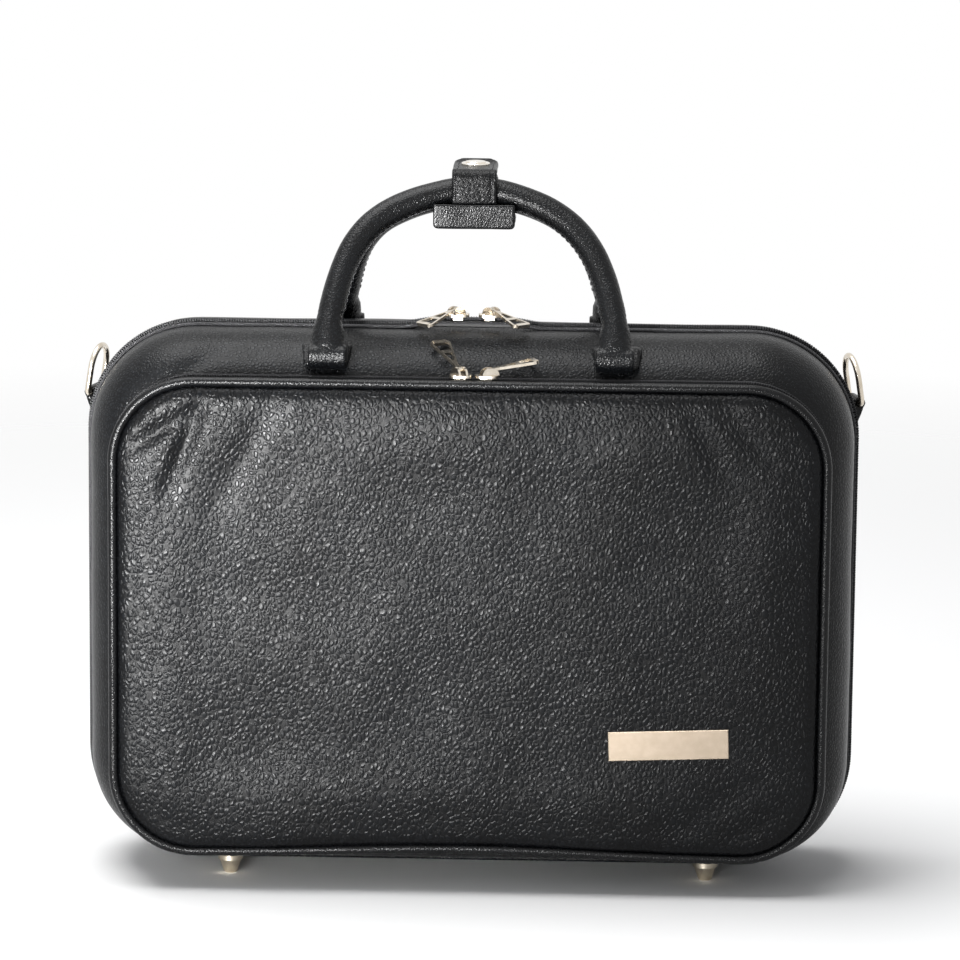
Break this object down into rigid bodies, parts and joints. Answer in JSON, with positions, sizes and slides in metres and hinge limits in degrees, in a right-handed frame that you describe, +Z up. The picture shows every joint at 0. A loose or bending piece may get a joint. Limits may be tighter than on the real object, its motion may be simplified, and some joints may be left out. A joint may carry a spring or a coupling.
{
  "type": "clarinet case",
  "caption": "Zip-around leather-covered clarinet case with a zipped front pocket, twin rolled handles joined by a snap wrap, strap rings, metal feet and a fitted inside",
  "frame": {"origin": "centre of the bounding box on the floor, under the four feet", "axes": "+X to the right seen from the pocket side, +Y to the back, +Z up"},
  "size_m": [0.388, 0.1234, 0.3542],
  "materials": {
    "leather_black": "black pebble-grain leather, semi-matt with a soft sheen",
    "leather_binding": "black pebble-grain leather strips, stitched and edge-painted",
    "leather_handle": "black grained leather rolled over a rope core",
    "shell_board": "moulded stiff foam board",
    "plush_lining": "short black plush",
    "plush_insert": "foam block under black plush",
    "zip_tape": "woven black zip tape",
    "zip_teeth": "black nylon coil",
    "rope_core": "firm rope core",
    "pale_gold": "polished pale gold plating",
    "snap_metal": "polished pale gold plating",
    "foot_metal": "satin pale gold plating",
    "plate_metal": "brushed champagne metal",
    "fixing_steel": "plain steel"
  },
  "bodies": {
    "root": {"rear_cover": "leather_black", "rear_core": "shell_board", "rear_lining": "plush_lining", "fitted_insert": "plush_insert", "rear_zip_tape": "zip_tape", "rear_zip_teeth": "zip_teeth", "hinge_strip": "leather_binding", "rear_feet": "foot_metal", "rear_foot_screws": "fixing_steel", "rear_handle_tabs": "leather_binding", "ring_tab_left": "leather_binding", "ring_tab_right": "leather_binding"},
    "lid": {"front_cover": "leather_black", "front_core": "shell_board", "front_lining": "plush_lining", "lid_pad": "plush_insert", "front_zip_tape": "zip_tape", "front_zip_teeth": "zip_teeth", "front_feet": "foot_metal", "front_foot_screws": "fixing_steel", "front_handle_tabs": "leather_binding", "pocket_gusset": "leather_black", "pocket_zip_back": "zip_teeth"},
    "pocket_front": {"pocket_panel": "leather_black", "pocket_piping": "leather_binding", "pocket_zip_front": "zip_teeth", "name_plate": "plate_metal", "plate_pins": "fixing_steel"},
    "front_handle_body": {"front_handle": "leather_handle", "front_handle_core": "rope_core", "wrap_pad": "leather_binding", "wrap_front_strap": "leather_binding"},
    "rear_handle_body": {"rear_handle": "leather_handle", "rear_handle_core": "rope_core", "rear_wrap_band": "leather_binding", "wrap_rear_pad": "leather_binding", "snap_stud": "snap_metal"},
    "snap_flap": {"wrap_flap": "leather_binding", "snap_cap": "snap_metal", "snap_socket": "snap_metal"},
    "main_slider_body_left": {"main_slider_left": "pale_gold"},
    "main_pull_body_left": {"main_pull_left": "pale_gold"},
    "pocket_slider_body_left": {"pocket_slider_left": "pale_gold"},
    "pocket_pull_body_left": {"pocket_pull_left": "pale_gold"},
    "main_slider_body_right": {"main_slider_right": "pale_gold"},
    "main_pull_body_right": {"main_pull_right": "pale_gold"},
    "pocket_slider_body_right": {"pocket_slider_right": "pale_gold"},
    "pocket_pull_body_right": {"pocket_pull_right": "pale_gold"},
    "strap_ring_body_left": {"strap_ring_left": "pale_gold"},
    "strap_ring_body_right": {"strap_ring_right": "pale_gold"}
  },
  "joints": [
    {"name": "lid_open", "type": "hinge", "parent": "root", "child": "lid", "pos_m": [0, 0.00326, 0.0053], "axis": [1, 0, 0], "range_deg": [0, 120], "deforming": ["hinge_strip"]},
    {"name": "pocket_open", "type": "hinge", "parent": "lid", "child": "pocket_front", "pos_m": [0, -0.05554, 0.0199], "axis": [1, 0, 0], "range_deg": [0, 25], "deforming": ["pocket_gusset"]},
    {"name": "front_handle_tilt", "type": "hinge", "parent": "lid", "child": "front_handle_body", "pos_m": [0, -0.04523, 0.26465], "axis": [1, 0, 0], "range_deg": [0, 105]},
    {"name": "rear_handle_tilt", "type": "hinge", "parent": "root", "child": "rear_handle_body", "pos_m": [0, 0.05574, 0.26465], "axis": [-1, 0, 0], "range_deg": [0, 105]},
    {"name": "snap_flap_lift", "type": "hinge", "parent": "front_handle_body", "child": "snap_flap", "pos_m": [0, -0.01299, 0.35125], "axis": [1, 0, 0], "range_deg": [0, 150]},
    {"name": "main_slider_left_run", "type": "slide", "parent": "root", "child": "main_slider_body_left", "axis": [-1, 0, 0], "range_m": [0, 0.12]},
    {"name": "main_pull_left_lift", "type": "hinge", "parent": "main_slider_body_left", "child": "main_pull_body_left", "pos_m": [-0.00877, 0.00216, 0.28145], "axis": [-0.7314, 0.682, 0], "range_deg": [0, 100]},
    {"name": "pocket_slider_left_run", "type": "slide", "parent": "lid", "child": "pocket_slider_body_left", "axis": [-1, 0, 0], "range_m": [0, 0.02]},
    {"name": "pocket_pull_left_lift", "type": "hinge", "parent": "pocket_slider_body_left", "child": "pocket_pull_body_left", "pos_m": [-0.00545, -0.04744, 0.25995], "axis": [0.866, 0.5, 0], "range_deg": [-1, 60]},
    {"name": "main_slider_right_run", "type": "slide", "parent": "root", "child": "main_slider_body_right", "axis": [1, 0, 0], "range_m": [0, 0.12]},
    {"name": "main_pull_right_lift", "type": "hinge", "parent": "main_slider_body_right", "child": "main_pull_body_right", "pos_m": [0.00877, 0.00216, 0.28145], "axis": [-0.7314, -0.682, 0], "range_deg": [0, 100]},
    {"name": "pocket_slider_right_run", "type": "slide", "parent": "lid", "child": "pocket_slider_body_right", "axis": [1, 0, 0], "range_m": [0, 0.02]},
    {"name": "pocket_pull_right_lift", "type": "hinge", "parent": "pocket_slider_body_right", "child": "pocket_pull_body_right", "pos_m": [0.00911, -0.04823, 0.25995], "axis": [0.342, -0.9397, 0], "range_deg": [-3, 75]},
    {"name": "strap_ring_left_swing", "type": "hinge", "parent": "root", "child": "strap_ring_body_left", "pos_m": [-0.18918, 0.02526, 0.2345], "axis": [-0.2588, -0.9659, 0], "range_deg": [-8, 150]},
    {"name": "strap_ring_right_swing", "type": "hinge", "parent": "root", "child": "strap_ring_body_right", "pos_m": [0.18918, 0.02526, 0.2345], "axis": [-0.2588, 0.9659, 0], "range_deg": [-8, 150]}
  ]
}
